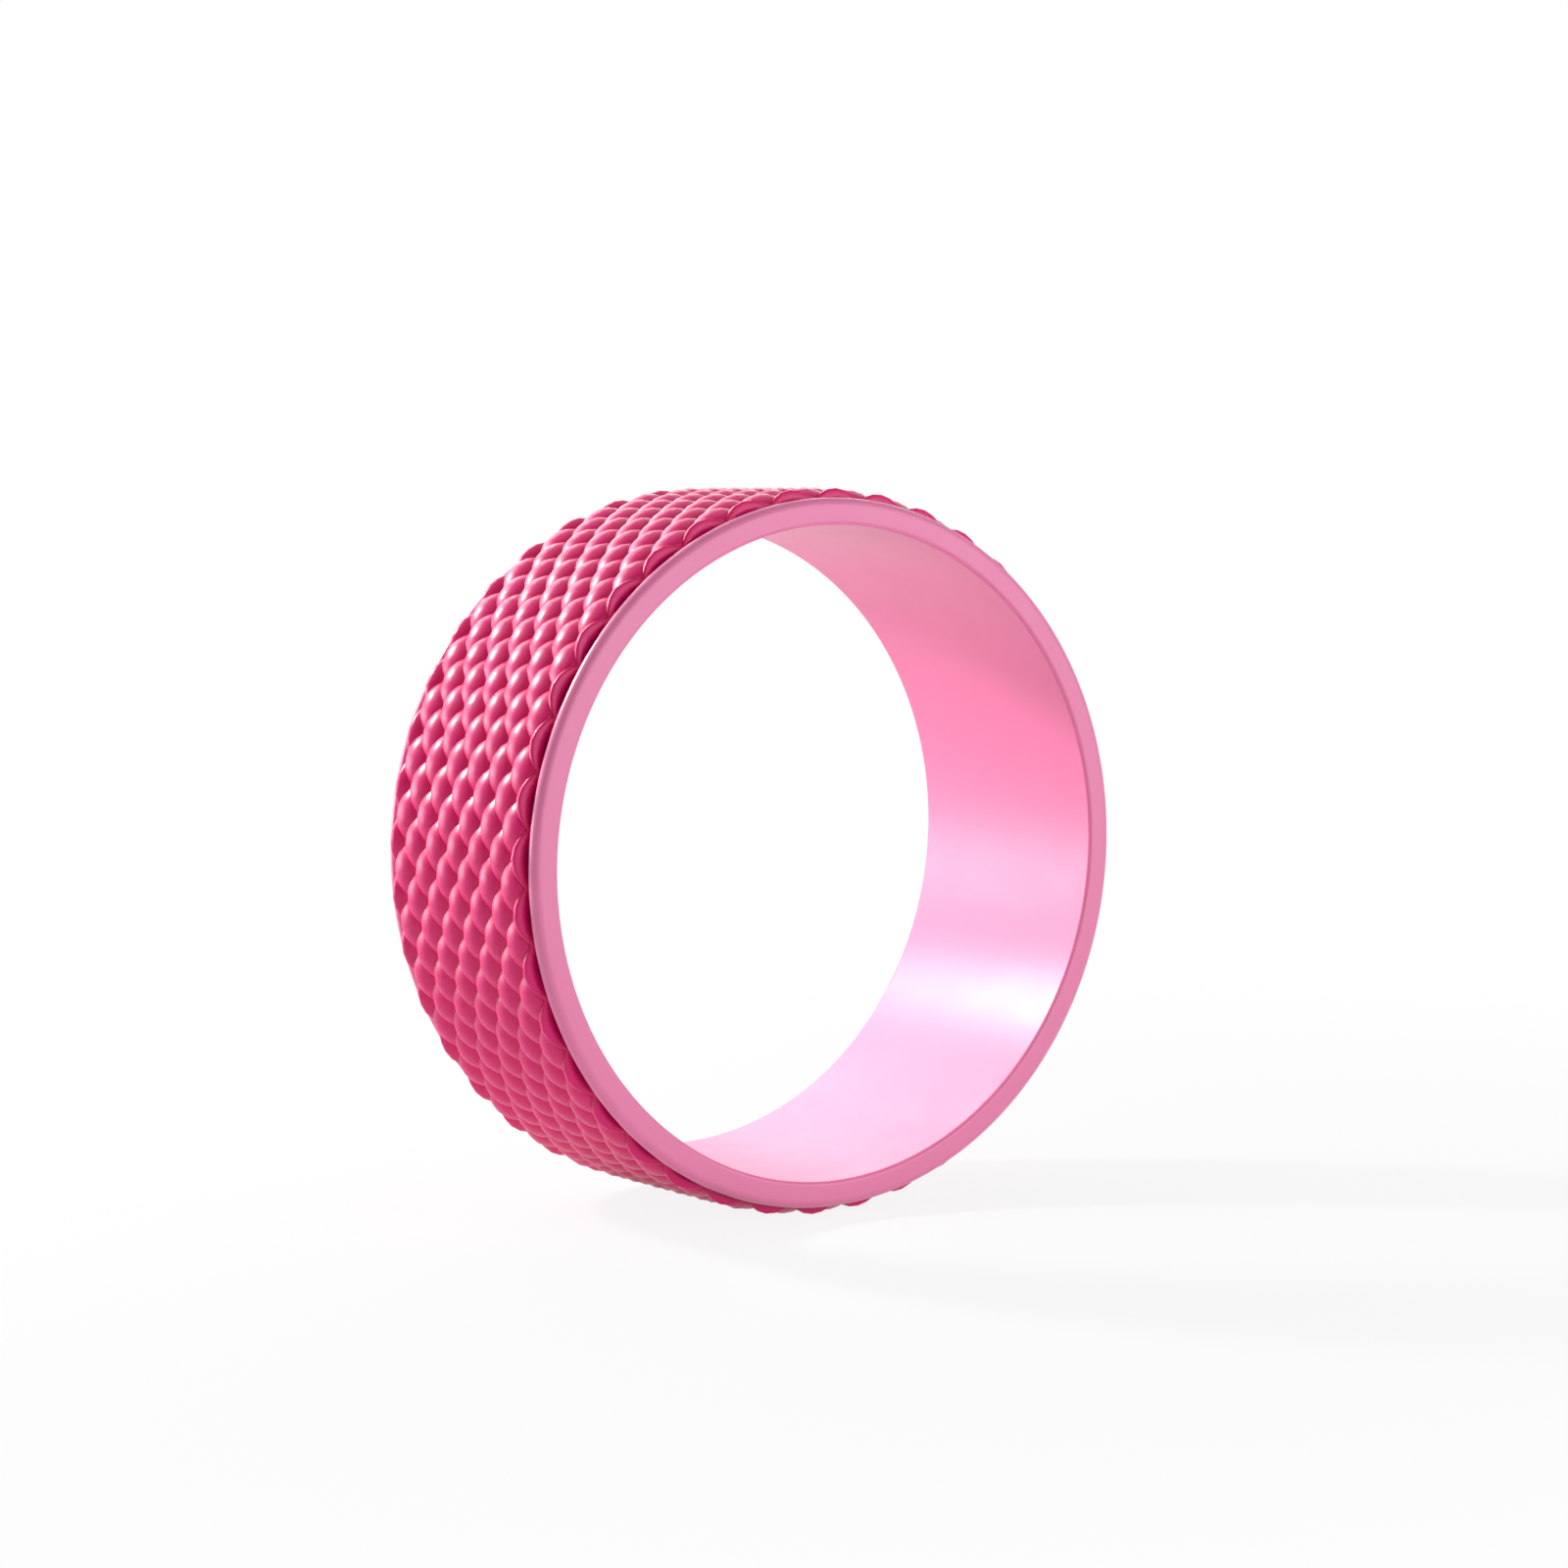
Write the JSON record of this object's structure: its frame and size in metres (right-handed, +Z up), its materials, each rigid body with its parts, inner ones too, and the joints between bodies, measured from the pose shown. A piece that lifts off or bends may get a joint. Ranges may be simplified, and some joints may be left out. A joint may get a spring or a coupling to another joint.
{
  "type": "yoga wheel",
  "caption": "Upright yoga wheel: a smooth glossy plastic hoop with thick rounded rims and a soft tread of raised diamonds bonded round its outside.",
  "frame": {"origin": "centre of the wheel: on the axle line, midway between the two rims", "axes": "the wheel stands upright on its tread as in use: +Z up, +Y along the axle line from the front rim to the back rim, +X to the right seen from the front"},
  "size_m": [0.3296, 0.1264, 0.3296],
  "materials": {
    "hoop_plastic": "light pink moulded ABS, polished",
    "glue": "cured contact adhesive, dull and translucent",
    "tread_rubber": "magenta soft moulded TPE, satin to glossy"
  },
  "bodies": {
    "root": {"hoop": "hoop_plastic", "glue_film": "glue", "tread_pad": "tread_rubber"}
  },
  "joints": []
}
